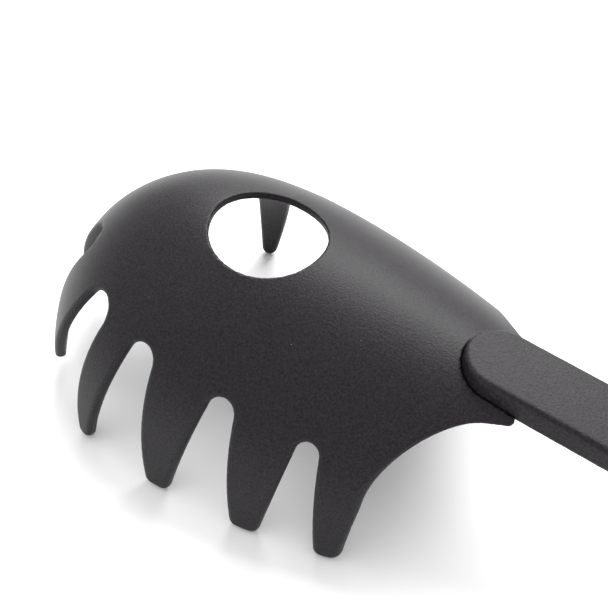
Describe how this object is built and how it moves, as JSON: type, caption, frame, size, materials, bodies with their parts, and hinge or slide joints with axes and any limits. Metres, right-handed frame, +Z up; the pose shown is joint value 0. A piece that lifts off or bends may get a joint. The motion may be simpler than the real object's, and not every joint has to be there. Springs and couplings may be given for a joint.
{
  "type": "pasta server",
  "caption": "Nylon pasta server: domed scoop with long teeth round its rim and a round drain hole, on a long flat handle with a hanging hole.",
  "frame": {"origin": "bottom centre of the whole tool's box, on the surface that it lies on face down", "axes": "+X towards the handle's end, +Z up, Y across; the XZ plane is the plane of symmetry"},
  "size_m": [0.3016, 0.0712, 0.0416],
  "materials": {
    "scoop_nylon": "fine moulded grain",
    "handle_nylon": "fine moulded grain",
    "cover_nylon": "smooth matte",
    "strip_steel": "rolled stainless",
    "screw_steel": "stainless"
  },
  "bodies": {
    "root": {"scoop_head": "scoop_nylon", "handle_body": "handle_nylon", "core_strip": "strip_steel", "underside_cover": "cover_nylon", "neck_screws": "screw_steel"}
  },
  "joints": []
}
